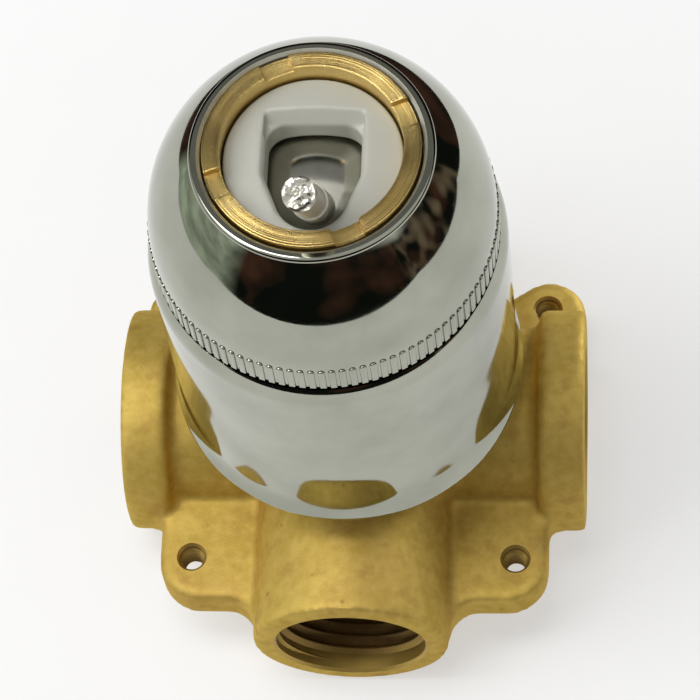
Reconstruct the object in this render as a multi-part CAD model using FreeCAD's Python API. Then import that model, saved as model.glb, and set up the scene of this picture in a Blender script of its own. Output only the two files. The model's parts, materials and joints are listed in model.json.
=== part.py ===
import FreeCAD, Part
import math
import os
from FreeCAD import Placement, Rotation, Vector

# Tub and shower valve with one ball lever, in millimetres.
# +Z is the valve axis pointing out of the wall, -Y the tub outlet, +Y the shower outlet,
# -X the hot inlet and +X the cold inlet. Z = 0 is the plane that the back of the casting rests on.

# Cast body: ports
PORT_AXIS_Z = 13.7
PORT_BORE_R = 10.3
PORT_MOUTH_R = 10.7
PORT_THREAD_DEPTH = 11.2
PORT_CORE_R = 9.8
PORT_CORE_DEPTH = 3.8
OUTLET_FACE_Y = 34.0
OUTLET_BOSS_R = 13.5
OUTLET_EDGE_ROUND = 0.8
INLET_FACE_X = 32.0
INLET_COLLAR_R = 15.5
INLET_COLLAR_WIDTH = 6.5
INLET_COLLAR_ROUND = 0.6
INLET_COLLAR_INNER_ROUND = 1.1
INLET_NECK_R = 13.0
INLET_NECK_FILLET = 0.6
PASSAGE_R = 3.4
PASSAGE_ELBOW_R = 4.2
INLET_PASSAGE_X = 7.0
OUTLET_PASSAGE_Y = 8.0

# Cast body: mounting ears
EAR_THICKNESS = 5.8
EAR_EDGE_ROUND = 1.0
EAR_HOLE_R = 1.75
EAR_HOLE_LEAD = 0.35
FRONT_EAR_RISE = 1.8
FRONT_EAR_X = 27.0
FRONT_EAR_Y = 27.9
FRONT_EAR_CORNER_R = 5.8
FRONT_EAR_OUTLET_WEB = 4.0
FRONT_EAR_INLET_WEB = 1.6
FRONT_HOLE_X = 22.5
FRONT_HOLE_Y = 21.7
BACK_LUG_DROP = 3.5
BACK_LUG_X = 26.55
BACK_LUG_Y = 18.4
BACK_LUG_R = 5.2
BACK_LUG_ROOT_R = 5.5
BACK_HOLE_X = 26.3
BACK_HOLE_Y = 19.1

# Cast body: turned tower
HUB_R = 18.6
HUB_FOOT_DROP = 9.9
HUB_FOOT_ROUND = 4.0
LAND_GAP = 1.7
LAND_LENGTH = 11.0
WAIST_R = 16.2
LAND_SLOPE = 1.6
THREAD_LENGTH = 5.6
THREAD_RELIEF = 0.9
THREAD_CHAMFER = 0.6
NOSE_R = 17.5

# Trim sleeve and its two seals
SLEEVE_R = 23.1
SLEEVE_WALL = 1.2
SLEEVE_LENGTH = 38.3
SLEEVE_FOOT_RISE = 20.6
SLEEVE_FLARE = 0.7
SLEEVE_FLARE_HEIGHT = 4.5
SLEEVE_FOOT_EDGE = 0.25
SLEEVE_SHOULDER = 0.9
SLEEVE_SHOULDER_HEIGHT = 3.0
SEAL_CORD = 3.5
SEAL_SQUEEZE = 0.3
SEAL_GROOVE_SPARE = 0.5

# Bonnet cap
SLEEVE_CAP_GAP = 0.6
CAP_R = 22.0
CAP_WALL = 1.25
CAP_THREAD_GAP = 0.15
RIB_COUNT = 106
RIB_WIDTH = 0.92
RIB_RISE = 0.22
RIB_LENGTH = 4.5
DOME_FOOT_RISE = 5.0
DOME_HEIGHT = 16.3
DOME_SAG = 1.65
MOUTH_R = 13.75
RIM_WIDTH = 1.45
RIM_ROUND = 0.6
RIM_CHAMFER = 0.4

# Adjusting ring
RING_GAP = 0.3
RING_INNER_R = 11.3
RING_HEIGHT = 6.0
RING_PROUD = 0.4
RING_CHAMFER = 0.15
NOTCH_COUNT = 4
NOTCH_WIDTH = 3.8
NOTCH_DEPTH = 0.9
NOTCH_FIRST_ANGLE = 23.0

# Ball, stem and guide pin
BALL_R = 11.0
BALL_DEPTH = 16.4
STEM_R = 2.25
SPIGOT_R = 2.05
SPIGOT_LENGTH = 18.0
STEM_REACH = 44.0
STEM_SOCKET_FLOOR = 7.0
STEM_CHAMFER = 0.25
BALL_CAVITY_R = 5.6
BALL_PORT_R = 2.0
REST_TILT = 24.7
OPEN_TILT = -5.5
REST_SWING = 2.0
PIN_R = 1.5
PIN_FIT = 0.04
PIN_REACH = 2.1
PIN_SEAT = 4.0
SLOT_GAP = 0.12
SLOT_FLOOR_GAP = 0.4

# Chamber, seats and springs
CHAMBER_GAP = 1.4
CHAMBER_FLOOR_GAP = 0.9
NOSE_RISE = 7.3
SEAT_R = 4.1
SEAT_TIP_R = 3.3
SEAT_BORE_R = 2.1
SEAT_SKIRT = 3.6
SEAT_TIP_RISE = 4.6
SEAT_GAP = 0.1
POCKET_GAP = 0.1
POCKET_DEPTH = 8.7
SPRING_WIRE = 0.8
SPRING_TURNS = 4.0
SPRING_WALL_GAP = 0.3

# Cam and its packing
CAM_LEDGE = 2.85
CAM_NECK_GAP = 0.15
CAM_RING_GAP = 0.15
CAM_BOWL_GAP = 0.5
CAM_CAP_GAP = 0.2
CAM_EDGE_DROP = 2.75
CAM_CROWN = 1.1
CAM_KEY_WIDTH = 3.0
CAM_KEY_HEIGHT = 1.5
CAM_KEY_GAP = 0.1
OPENING_HALF_WIDTH = 5.9
OPENING_BACK_Y = 5.1
OPENING_CORNER_R = 2.2
OPENING_SHOULDER_Y = -2.4
OPENING_TIP_R = 4.5
OPENING_TIP_Y = -9.7
OPENING_LIP = 0.9
RAMP_HALF_WIDTH = 6.2
RAMP_BACK_Y = 7.1
RAMP_FALL = 2.2
PACKING_LEDGE = 2.6
PACKING_HEIGHT = 3.4
PACKING_GAP = 0.15

# Heights and radii worked out from the values above
FRONT_EAR_TOP_Z = PORT_AXIS_Z + FRONT_EAR_RISE
BACK_LUG_TOP_Z = PORT_AXIS_Z - BACK_LUG_DROP
HUB_FOOT_Z = PORT_AXIS_Z - HUB_FOOT_DROP
SLEEVE_FOOT_Z = PORT_AXIS_Z + SLEEVE_FOOT_RISE
SLEEVE_TOP_Z = SLEEVE_FOOT_Z + SLEEVE_LENGTH
SLEEVE_BORE_R = SLEEVE_R - SLEEVE_WALL
LAND_R = SLEEVE_BORE_R - LAND_GAP
CAP_FOOT_Z = SLEEVE_TOP_Z + SLEEVE_CAP_GAP
CAP_BORE_R = CAP_R - CAP_WALL
THREAD_R = CAP_BORE_R - CAP_THREAD_GAP
DOME_FOOT_Z = CAP_FOOT_Z + DOME_FOOT_RISE
MOUTH_Z = DOME_FOOT_Z + DOME_HEIGHT
RING_TOP_Z = MOUTH_Z + RING_PROUD
RING_FOOT_Z = RING_TOP_Z - RING_HEIGHT
RING_R = MOUTH_R - RING_GAP
BALL_Z = MOUTH_Z - BALL_DEPTH
NOSE_Z = BALL_Z + NOSE_RISE
THREAD_FOOT_Z = CAP_FOOT_Z + THREAD_RELIEF
SHOULDER_Z = THREAD_FOOT_Z + THREAD_LENGTH
CHAMBER_R = BALL_R + CHAMBER_GAP
CHAMBER_FLOOR_Z = BALL_Z - BALL_R - CHAMBER_FLOOR_GAP
POCKET_R = SEAT_R + POCKET_GAP
POCKET_FLOOR_Z = CHAMBER_FLOOR_Z - POCKET_DEPTH
SEAT_FOOT_Z = CHAMBER_FLOOR_Z - SEAT_SKIRT
CAM_TOP_Z = RING_FOOT_Z - CAM_RING_GAP
CAM_R = MOUTH_R + CAM_LEDGE
CAM_NECK_R = RING_INNER_R - CAM_NECK_GAP
CAM_EDGE_Z = RING_TOP_Z - CAM_EDGE_DROP
CAM_CROWN_Z = CAM_EDGE_Z + CAM_CROWN
PACKING_R = CHAMBER_R + PACKING_LEDGE
PACKING_FOOT_Z = NOSE_Z - PACKING_HEIGHT
SEAL_GROOVE_R = SLEEVE_BORE_R - SEAL_CORD + SEAL_SQUEEZE
SEAL_GROOVE_WIDTH = SEAL_CORD + SEAL_GROOVE_SPARE
LOWER_LAND_Z = SLEEVE_FOOT_Z + LAND_SLOPE
UPPER_LAND_Z = CAP_FOOT_Z - LAND_LENGTH - THREAD_RELIEF
LOWER_SEAL_Z = LOWER_LAND_Z + LAND_LENGTH / 2
UPPER_SEAL_Z = UPPER_LAND_Z + LAND_LENGTH / 2

ORIGIN = Vector(0, 0, 0)
UP = Vector(0, 0, 1)
BALL_CENTRE = Vector(0, 0, BALL_Z)
REST_TURN = Rotation(Vector(0, 1, 0), REST_SWING) * Rotation(Vector(1, 0, 0), REST_TILT)
BALL_POSE = Placement(BALL_CENTRE, REST_TURN)
HALF_DIAGONAL = math.sqrt(0.5)
TOLERANCE = 1e-6


def face_along(path):
    """Face inside a closed path of points; a (via, end) pair in the path is an arc."""
    edges = []
    here = path[0]
    for step in path[1:] + path[:1]:
        if isinstance(step, tuple):
            via, end = step
            edges.append(Part.Arc(here, via, end).toShape())
        else:
            end = step
            if here.distanceToPoint(end) > TOLERANCE:
                edges.append(Part.makeLine(here, end))
        here = end
    return Part.Face(Part.Wire(edges))


def rz(radius, height):
    return Vector(radius, 0, height)


def turned(path):
    return face_along(path).revolve(ORIGIN, UP, 360)


def arc_about(centre, radius, angle, end_angle):
    """Via and end points of an arc about a centre in the turning plane, for face_along."""
    middle = math.radians((angle + end_angle) / 2)
    last = math.radians(end_angle)
    via = rz(centre.x + radius * math.cos(middle), centre.z + radius * math.sin(middle))
    return via, rz(centre.x + radius * math.cos(last), centre.z + radius * math.sin(last))


def laid(shape, direction):
    """Lay a piece turned about Z level with the ports, pointing in a direction in degrees."""
    tip = Rotation(Vector(0, 1, 0), 90)
    shape.Placement = Placement(Vector(0, 0, PORT_AXIS_Z), Rotation(UP, direction) * tip)
    return shape


def mirrored_x(shape):
    return shape.mirror(ORIGIN, Vector(1, 0, 0))


def seal_groove(middle_z):
    foot = middle_z - SEAL_GROOVE_WIDTH / 2
    outer = Part.makeCylinder(SLEEVE_R, SEAL_GROOVE_WIDTH, Vector(0, 0, foot))
    return outer.cut(Part.makeCylinder(SEAL_GROOVE_R, SEAL_GROOVE_WIDTH, Vector(0, 0, foot)))


def inlet_branch():
    collar_foot = INLET_FACE_X - INLET_COLLAR_WIDTH
    fillet_r = INLET_NECK_R + INLET_NECK_FILLET
    edge_r = INLET_COLLAR_R - INLET_COLLAR_ROUND
    inner_r = INLET_COLLAR_R - INLET_COLLAR_INNER_ROUND
    return turned([
        rz(0, 0),
        rz(INLET_NECK_R, 0),
        rz(INLET_NECK_R, collar_foot - INLET_NECK_FILLET),
        arc_about(rz(fillet_r, collar_foot - INLET_NECK_FILLET), INLET_NECK_FILLET, 180, 90),
        rz(inner_r, collar_foot),
        arc_about(rz(inner_r, collar_foot + INLET_COLLAR_INNER_ROUND), INLET_COLLAR_INNER_ROUND, -90, 0),
        rz(INLET_COLLAR_R, INLET_FACE_X - INLET_COLLAR_ROUND),
        arc_about(rz(edge_r, INLET_FACE_X - INLET_COLLAR_ROUND), INLET_COLLAR_ROUND, 0, 90),
        rz(0, INLET_FACE_X),
    ])


def outlet_branch():
    edge_r = OUTLET_BOSS_R - OUTLET_EDGE_ROUND
    return turned([
        rz(0, 0),
        rz(OUTLET_BOSS_R, 0),
        rz(OUTLET_BOSS_R, OUTLET_FACE_Y - OUTLET_EDGE_ROUND),
        arc_about(rz(edge_r, OUTLET_FACE_Y - OUTLET_EDGE_ROUND), OUTLET_EDGE_ROUND, 0, 90),
        rz(0, OUTLET_FACE_Y),
    ])


def port_cavity(face_distance, passage_distance):
    """Threaded socket with a lead-in and a narrower core, running into the passage up the tower."""
    lead = PORT_MOUTH_R - PORT_BORE_R
    thread_end = face_distance - PORT_THREAD_DEPTH
    floor = thread_end - PORT_CORE_DEPTH
    step = PORT_CORE_R - PASSAGE_ELBOW_R
    return turned([
        rz(0, passage_distance),
        rz(PASSAGE_ELBOW_R, passage_distance),
        rz(PASSAGE_ELBOW_R, floor - step / 2),
        rz(PORT_CORE_R, floor),
        rz(PORT_CORE_R, thread_end),
        rz(PORT_BORE_R, thread_end),
        rz(PORT_BORE_R, face_distance - lead),
        rz(PORT_MOUTH_R, face_distance),
        rz(0, face_distance),
    ])


def tower():
    lower_top = LOWER_LAND_Z + LAND_LENGTH
    return turned([
        rz(0, HUB_FOOT_Z),
        rz(HUB_R - HUB_FOOT_ROUND, HUB_FOOT_Z),
        arc_about(rz(HUB_R - HUB_FOOT_ROUND, HUB_FOOT_Z + HUB_FOOT_ROUND), HUB_FOOT_ROUND, -90, 0),
        rz(HUB_R, LOWER_LAND_Z - LAND_SLOPE),
        rz(LAND_R, LOWER_LAND_Z),
        rz(LAND_R, lower_top),
        rz(WAIST_R, lower_top + LAND_SLOPE),
        rz(WAIST_R, UPPER_LAND_Z - LAND_SLOPE),
        rz(LAND_R, UPPER_LAND_Z),
        rz(LAND_R, UPPER_LAND_Z + LAND_LENGTH),
        rz(THREAD_R - THREAD_RELIEF, CAP_FOOT_Z),
        rz(THREAD_R - THREAD_RELIEF, THREAD_FOOT_Z),
        rz(THREAD_R, THREAD_FOOT_Z + THREAD_CHAMFER),
        rz(THREAD_R, SHOULDER_Z - THREAD_CHAMFER),
        rz(THREAD_R - THREAD_CHAMFER, SHOULDER_Z),
        rz(NOSE_R, SHOULDER_Z),
        rz(NOSE_R, NOSE_Z),
        rz(0, NOSE_Z),
    ])


def ear_slab(face, top_z):
    face.translate(Vector(0, 0, top_z - EAR_THICKNESS))
    slab = face.extrude(Vector(0, 0, EAR_THICKNESS))
    top = [edge for edge in slab.Edges if abs(edge.BoundBox.ZMin - top_z) < TOLERANCE]
    return slab.makeFillet(EAR_EDGE_ROUND, top)


def front_ear():
    """Plate in the corner between the cold inlet and the tub outlet, webbed to both."""
    corner = Vector(FRONT_EAR_X - FRONT_EAR_CORNER_R, FRONT_EAR_CORNER_R - FRONT_EAR_Y, 0)
    outlet = Vector(OUTLET_BOSS_R + FRONT_EAR_OUTLET_WEB, -FRONT_EAR_Y - FRONT_EAR_OUTLET_WEB, 0)
    inlet = Vector(FRONT_EAR_X + FRONT_EAR_INLET_WEB, -INLET_COLLAR_R - FRONT_EAR_INLET_WEB, 0)
    inward = Vector(-HALF_DIAGONAL, HALF_DIAGONAL, 0)
    return ear_slab(face_along([
        ORIGIN,
        Vector(OUTLET_BOSS_R - FRONT_EAR_OUTLET_WEB, outlet.y, 0),
        Vector(OUTLET_BOSS_R, outlet.y, 0),
        (outlet + inward * FRONT_EAR_OUTLET_WEB, Vector(outlet.x, -FRONT_EAR_Y, 0)),
        Vector(corner.x, -FRONT_EAR_Y, 0),
        (corner - inward * FRONT_EAR_CORNER_R, Vector(FRONT_EAR_X, corner.y, 0)),
        Vector(FRONT_EAR_X, inlet.y, 0),
        (inlet + inward * FRONT_EAR_INLET_WEB, Vector(inlet.x, -INLET_COLLAR_R, 0)),
        Vector(inlet.x, 0, 0),
    ]), FRONT_EAR_TOP_Z)


def back_ear():
    """Round lug with sides that run tangent from a wider root inside the casting."""
    reach = math.hypot(BACK_LUG_X, BACK_LUG_Y)
    root = HUB_R - BACK_LUG_ROOT_R
    spread = math.asin((BACK_LUG_ROOT_R - BACK_LUG_R) / (reach - root))
    tangent = Vector(math.sin(spread), math.cos(spread), 0)
    across = Vector(tangent.x, -tangent.y, 0)
    lug = Vector(reach, 0, 0)
    base = Vector(root, 0, 0)
    face = face_along([
        base + across * BACK_LUG_ROOT_R,
        lug + across * BACK_LUG_R,
        (lug + Vector(BACK_LUG_R, 0, 0), lug + tangent * BACK_LUG_R),
        base + tangent * BACK_LUG_ROOT_R,
    ])
    face.rotate(ORIGIN, UP, math.degrees(math.atan2(BACK_LUG_Y, BACK_LUG_X)))
    return ear_slab(face, BACK_LUG_TOP_Z)


def ear_hole(x, y, top_z):
    """Through hole with a small lead-in at the ear's top face."""
    hole = turned([
        rz(0, -EAR_THICKNESS),
        rz(EAR_HOLE_R, -EAR_THICKNESS),
        rz(EAR_HOLE_R, -EAR_HOLE_LEAD),
        rz(EAR_HOLE_R + EAR_HOLE_LEAD, 0),
        rz(0, 0),
    ])
    hole.translate(Vector(x, y, top_z))
    return hole


def valve_body():
    ears = [front_ear(), back_ear()]
    ears = ears + [mirrored_x(ear) for ear in ears]
    branches = [laid(inlet_branch(), 0), laid(inlet_branch(), 180)]
    branches = branches + [laid(outlet_branch(), 90), laid(outlet_branch(), -90)]
    body = tower().multiFuse(branches + ears)
    body = body.cut(below_rest_plane())
    cuts = [laid(port_cavity(INLET_FACE_X, INLET_PASSAGE_X), turn) for turn in (0, 180)]
    cuts = cuts + [laid(port_cavity(OUTLET_FACE_Y, OUTLET_PASSAGE_Y), turn) for turn in (90, -90)]
    cuts = cuts + [seal_groove(LOWER_SEAL_Z), seal_groove(UPPER_SEAL_Z), chamber()]
    cuts = cuts + [pin_hole(), key_slot()]
    for side in (-1, 1):
        cuts.append(ear_hole(side * FRONT_HOLE_X, -FRONT_HOLE_Y, FRONT_EAR_TOP_Z))
        cuts.append(ear_hole(side * BACK_HOLE_X, BACK_HOLE_Y, BACK_LUG_TOP_Z))
    return body.cut(cuts).removeSplitter()


def below_rest_plane():
    span = 4 * max(INLET_FACE_X, OUTLET_FACE_Y)
    return Part.makeBox(span, span, span, Vector(-span / 2, -span / 2, -span))


def chamber():
    """Ball chamber with the packing ledge, two seat pockets and the passages to the ports."""
    room = turned([
        rz(0, CHAMBER_FLOOR_Z),
        rz(CHAMBER_R, CHAMBER_FLOOR_Z),
        rz(CHAMBER_R, PACKING_FOOT_Z),
        rz(PACKING_R, PACKING_FOOT_Z),
        rz(PACKING_R, NOSE_Z),
        rz(0, NOSE_Z),
    ])
    rise = CHAMBER_FLOOR_Z - PORT_AXIS_Z
    parts = []
    for side in (-1, 1):
        inlet = Vector(side * INLET_PASSAGE_X, 0, PORT_AXIS_Z)
        outlet = Vector(0, side * OUTLET_PASSAGE_Y, PORT_AXIS_Z)
        pocket = Vector(side * INLET_PASSAGE_X, 0, POCKET_FLOOR_Z)
        parts.append(Part.makeCylinder(PASSAGE_R, rise, inlet))
        parts.append(Part.makeCylinder(PASSAGE_R, rise, outlet))
        parts.append(Part.makeCylinder(POCKET_R, POCKET_DEPTH, pocket))
    return room.multiFuse(parts)


def pin_hole():
    start = Vector(0, CHAMBER_R - PIN_R, BALL_Z)
    return Part.makeCylinder(PIN_R + PIN_FIT, PIN_R + PIN_SEAT, start, Vector(0, 1, 0))


def key_slot():
    width = CAM_KEY_WIDTH + 2 * CAM_KEY_GAP
    height = CAM_KEY_HEIGHT + CAM_KEY_GAP
    return Part.makeBox(width, NOSE_R, height, Vector(-width / 2, PACKING_R - CAM_KEY_WIDTH, NOSE_Z - height))


def trim_sleeve():
    """Plain tube that flares at its foot and draws in at its top, along arcs tangent to the wall."""
    rim_r = SLEEVE_R + SLEEVE_FLARE
    fall = SLEEVE_FLARE_HEIGHT - SLEEVE_FOOT_EDGE
    bend_r = (SLEEVE_FLARE ** 2 + fall ** 2) / (2 * SLEEVE_FLARE)
    bend = rz(SLEEVE_R + bend_r, SLEEVE_FOOT_Z + SLEEVE_FLARE_HEIGHT)
    spread = math.degrees(math.asin(fall / bend_r))
    shoulder_z = SLEEVE_TOP_Z - SLEEVE_SHOULDER_HEIGHT
    shoulder_r = (SLEEVE_SHOULDER ** 2 + SLEEVE_SHOULDER_HEIGHT ** 2) / (2 * SLEEVE_SHOULDER)
    lean = math.degrees(math.asin(SLEEVE_SHOULDER_HEIGHT / shoulder_r))
    return turned([
        rz(SLEEVE_BORE_R, SLEEVE_FOOT_Z),
        rz(rim_r, SLEEVE_FOOT_Z),
        rz(rim_r, SLEEVE_FOOT_Z + SLEEVE_FOOT_EDGE),
        arc_about(bend, bend_r, 180 + spread, 180),
        rz(SLEEVE_R, shoulder_z),
        arc_about(rz(SLEEVE_R - shoulder_r, shoulder_z), shoulder_r, 0, lean),
        rz(SLEEVE_BORE_R, SLEEVE_TOP_Z),
    ])


def sleeve_seal(middle_z):
    """Rubber cord squeezed flat against the groove floor and the sleeve's bore."""
    middle_r = (SEAL_GROOVE_R + SLEEVE_BORE_R) / 2
    half_gap = (SLEEVE_BORE_R - SEAL_GROOVE_R) / 2
    flat = math.sqrt((SEAL_CORD / 2) ** 2 - half_gap ** 2)
    return turned([
        rz(SEAL_GROOVE_R, middle_z + flat),
        rz(SEAL_GROOVE_R, middle_z - flat),
        (rz(middle_r, middle_z - SEAL_CORD / 2), rz(SLEEVE_BORE_R, middle_z - flat)),
        rz(SLEEVE_BORE_R, middle_z + flat),
        (rz(middle_r, middle_z + SEAL_CORD / 2), rz(SEAL_GROOVE_R, middle_z + flat)),
    ])


def rib_band():
    """Upright ribs with bowed faces: one notched outline pulled up, then rounded off at its top."""
    pitch = 2 * math.pi / RIB_COUNT
    half = math.asin(RIB_WIDTH / 2 / CAP_R)
    path = []
    for index in range(RIB_COUNT):
        angle = index * pitch
        foot = Vector(CAP_R * math.cos(angle - half), CAP_R * math.sin(angle - half), CAP_FOOT_Z)
        crest = Vector(math.cos(angle), math.sin(angle), 0) * (CAP_R + RIB_RISE) + Vector(0, 0, CAP_FOOT_Z)
        end = Vector(CAP_R * math.cos(angle + half), CAP_R * math.sin(angle + half), CAP_FOOT_Z)
        path = path + [foot, (crest, end)]
    band = face_along(path).extrude(Vector(0, 0, RIB_LENGTH))
    top = CAP_FOOT_Z + RIB_LENGTH
    limit = turned([
        rz(0, CAP_FOOT_Z),
        rz(CAP_R + RIB_RISE, CAP_FOOT_Z),
        rz(CAP_R + RIB_RISE, top - RIB_RISE),
        arc_about(rz(CAP_R, top - RIB_RISE), RIB_RISE, 0, 90),
        rz(0, top),
    ])
    return band.common(limit)


def dome_path():
    """Outside of the cap from its foot over the dome to the mouth, then its stepped inside."""
    start = rz(CAP_R, DOME_FOOT_Z)
    end = rz(MOUTH_R + RIM_WIDTH, MOUTH_Z - RIM_ROUND)
    chord = end - start
    outward = rz(chord.z, -chord.x).normalize()
    crest = (start + end) * 0.5 + outward * DOME_SAG
    nose_r = NOSE_R + CAM_CAP_GAP
    cam_r = CAM_R + CAM_CAP_GAP
    return [
        rz(CAP_BORE_R, CAP_FOOT_Z),
        rz(CAP_R, CAP_FOOT_Z),
        start,
        (crest, end),
        arc_about(rz(end.x - RIM_ROUND, end.z), RIM_ROUND, 0, 90),
        rz(MOUTH_R + RIM_CHAMFER, MOUTH_Z),
        rz(MOUTH_R, MOUTH_Z - RIM_CHAMFER),
        rz(MOUTH_R, CAM_TOP_Z + CAM_CAP_GAP),
        rz(cam_r, CAM_TOP_Z + CAM_CAP_GAP),
        rz(cam_r, NOSE_Z + CAM_CAP_GAP),
        rz(nose_r, NOSE_Z + CAM_CAP_GAP),
        rz(nose_r, SHOULDER_Z),
        rz(CAP_BORE_R, SHOULDER_Z),
    ]


def bonnet_cap():
    shell = turned(dome_path())
    core = Part.makeCylinder(CAP_BORE_R, RIB_LENGTH, Vector(0, 0, CAP_FOOT_Z))
    return shell.fuse(rib_band().cut(core)).removeSplitter()


def adjusting_ring():
    ring = turned([
        rz(RING_INNER_R, RING_FOOT_Z),
        rz(RING_R, RING_FOOT_Z),
        rz(RING_R, RING_TOP_Z - RING_CHAMFER),
        rz(RING_R - RING_CHAMFER, RING_TOP_Z),
        rz(RING_INNER_R, RING_TOP_Z),
    ])
    notch = Part.makeBox(RING_R, NOTCH_WIDTH, NOTCH_DEPTH,
                         Vector(RING_INNER_R / 2, -NOTCH_WIDTH / 2, RING_TOP_Z - NOTCH_DEPTH))
    notches = []
    for index in range(NOTCH_COUNT):
        cutter = notch.copy()
        cutter.rotate(ORIGIN, UP, NOTCH_FIRST_ANGLE + index * 360 / NOTCH_COUNT)
        notches.append(cutter)
    return ring.cut(notches)


def opening_face(margin, height):
    """Shield-shaped outline of the cam's opening, wide at the back and round at the front."""
    width = OPENING_HALF_WIDTH + margin
    back_y = OPENING_BACK_Y + margin
    tip_r = OPENING_TIP_R + margin
    corner_x = OPENING_HALF_WIDTH - OPENING_CORNER_R
    corner_y = OPENING_BACK_Y - OPENING_CORNER_R
    reach = (OPENING_CORNER_R + margin) * HALF_DIAGONAL
    tip_y = OPENING_TIP_Y + OPENING_TIP_R
    drop = OPENING_SHOULDER_Y - tip_y
    slope = math.atan2(drop, width) - math.acos(tip_r / math.hypot(width, drop))
    tangent_x = tip_r * math.cos(slope)
    tangent_y = tip_y + tip_r * math.sin(slope)
    face = face_along([
        Vector(-corner_x, back_y, 0),
        Vector(corner_x, back_y, 0),
        (Vector(corner_x + reach, corner_y + reach, 0), Vector(width, corner_y, 0)),
        Vector(width, OPENING_SHOULDER_Y, 0),
        Vector(tangent_x, tangent_y, 0),
        (Vector(0, tip_y - tip_r, 0), Vector(-tangent_x, tangent_y, 0)),
        Vector(-width, OPENING_SHOULDER_Y, 0),
        Vector(-width, corner_y, 0),
        (Vector(-corner_x - reach, corner_y + reach, 0), Vector(-corner_x, back_y, 0)),
    ])
    face.translate(Vector(0, 0, height))
    return face


def cam():
    bowl_r = BALL_R + CAM_BOWL_GAP
    crown_sphere_r = (CAM_NECK_R ** 2 + CAM_CROWN ** 2) / (2 * CAM_CROWN)
    half_r = CAM_NECK_R / 2
    crown_via = rz(half_r, CAM_CROWN_Z - crown_sphere_r + math.sqrt(crown_sphere_r ** 2 - half_r ** 2))
    bowl_angle = math.degrees(math.asin(NOSE_RISE / bowl_r))
    disc = turned([
        rz(0, BALL_Z + bowl_r),
        arc_about(BALL_CENTRE, bowl_r, 90, bowl_angle),
        rz(CAM_R, NOSE_Z),
        rz(CAM_R, CAM_TOP_Z),
        rz(CAM_NECK_R, CAM_TOP_Z),
        rz(CAM_NECK_R, CAM_EDGE_Z),
        (crown_via, rz(0, CAM_CROWN_Z)),
    ])
    opening = opening_face(0, BALL_Z).extrude(Vector(0, 0, RING_TOP_Z - BALL_Z))
    lip_wires = [opening_face(0, CAM_EDGE_Z).OuterWire, opening_face(OPENING_LIP, CAM_CROWN_Z).OuterWire]
    lip = Part.makeLoft(lip_wires, True, True)
    key_foot = NOSE_Z - CAM_KEY_HEIGHT
    key_y = PACKING_R + CAM_KEY_GAP
    key = Part.makeBox(CAM_KEY_WIDTH, CAM_R - key_y - CAM_KEY_GAP, CAM_KEY_HEIGHT + CAM_KEY_GAP,
                       Vector(-CAM_KEY_WIDTH / 2, key_y, key_foot))
    return disc.cut([opening, lip, ramp()]).fuse(key).removeSplitter()


def ramp():
    """Wedge that lets the crown fall away towards the wide edge of the opening."""
    path = [
        Vector(-RAMP_HALF_WIDTH, RAMP_BACK_Y, CAM_CROWN_Z),
        Vector(-RAMP_HALF_WIDTH, OPENING_BACK_Y - OPENING_CORNER_R, CAM_CROWN_Z),
        Vector(-RAMP_HALF_WIDTH, OPENING_BACK_Y - OPENING_CORNER_R, CAM_CROWN_Z - RAMP_FALL),
        Vector(-RAMP_HALF_WIDTH, OPENING_BACK_Y, CAM_CROWN_Z - RAMP_FALL),
    ]
    return face_along(path).extrude(Vector(2 * RAMP_HALF_WIDTH, 0, 0))


def cam_packing():
    inner_r = BALL_R + PACKING_GAP
    top_angle = math.degrees(math.asin(NOSE_RISE / inner_r))
    foot_angle = math.degrees(math.asin((PACKING_FOOT_Z - BALL_Z) / inner_r))
    top_r = math.sqrt(inner_r ** 2 - NOSE_RISE ** 2)
    return turned([
        rz(PACKING_R, PACKING_FOOT_Z),
        rz(PACKING_R, NOSE_Z),
        rz(top_r, NOSE_Z),
        arc_about(BALL_CENTRE, inner_r, top_angle, foot_angle),
    ])


def ball():
    """Steel ball in its own frame, stem along +Z, then set to the pose it rests in."""
    solid = Part.makeSphere(BALL_R)
    socket = Part.makeCylinder(STEM_R, BALL_R, Vector(0, 0, STEM_SOCKET_FLOOR))
    cuts = [socket, Part.makeSphere(BALL_CAVITY_R), pin_slot()]
    seat_lean = math.asin(INLET_PASSAGE_X / BALL_R)
    for side in (-1, 1):
        seat = Vector(side * math.sin(seat_lean), 0, -math.cos(seat_lean))
        port = Rotation(Vector(1, 0, 0), -OPEN_TILT).multVec(seat)
        cuts.append(Part.makeCylinder(BALL_PORT_R, BALL_R, ORIGIN, port))
    outlet = Rotation(Vector(1, 0, 0), 2 * REST_TILT).multVec(Vector(0, 0, -1))
    cuts.append(Part.makeCylinder(BALL_PORT_R, BALL_R, ORIGIN, outlet))
    solid = solid.cut(cuts)
    solid.Placement = BALL_POSE
    return solid


def pin_slot():
    """Curved slot that slides along the guide pin while the ball tilts."""
    half_width = PIN_R + SLOT_GAP
    floor_r = BALL_R - PIN_REACH - SLOT_FLOOR_GAP
    end_angle = math.degrees(math.asin(half_width / floor_r))
    section = face_along([
        Vector(-half_width, floor_r, 0),
        Vector(half_width, floor_r, 0),
        Vector(half_width, BALL_R + PIN_R, 0),
        Vector(-half_width, BALL_R + PIN_R, 0),
    ])
    section.rotate(ORIGIN, Vector(1, 0, 0), -REST_TILT - end_angle)
    return section.revolve(ORIGIN, Vector(1, 0, 0), REST_TILT - OPEN_TILT + 2 * end_angle)


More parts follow.
